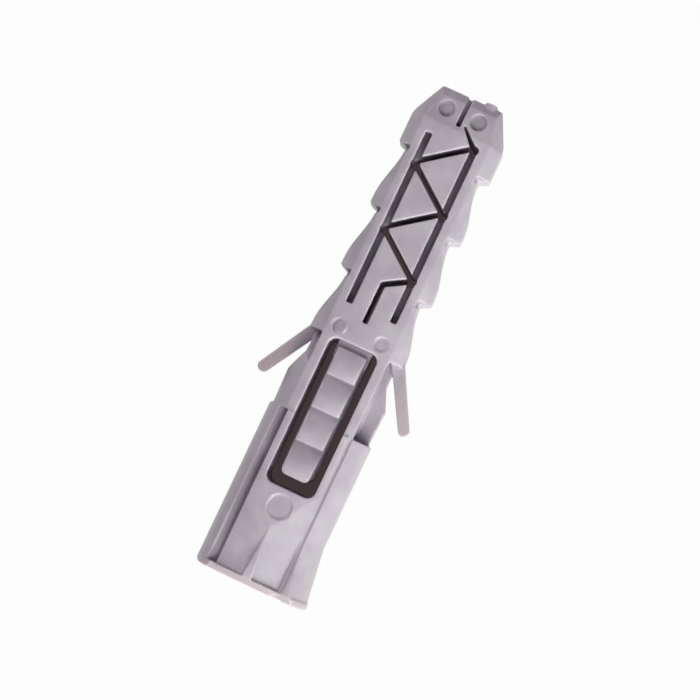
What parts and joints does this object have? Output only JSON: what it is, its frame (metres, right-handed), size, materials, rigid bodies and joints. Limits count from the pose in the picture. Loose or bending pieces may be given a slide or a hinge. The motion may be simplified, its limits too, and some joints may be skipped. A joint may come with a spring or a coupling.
{
  "type": "plastic wall plug",
  "caption": "Slim expansion plug moulded in one piece, with barbed flanks, a zigzag slit between its halves, a stepped tongue in a window, a spring whisker on each side and a flat-sided collar.",
  "frame": {"origin": "centre of the footprint, on the plane the plug lies on, which touches the back band of its collar", "axes": "+Z out of the front face, +Y along the plug towards its tip, +X to the right seen from the front"},
  "size_m": [0.0158, 0.0502, 0.008],
  "materials": {
    "plug_plastic": "light grey injection-moulded nylon, satin"
  },
  "bodies": {
    "root": {"plug_body": "plug_plastic"}
  },
  "joints": []
}
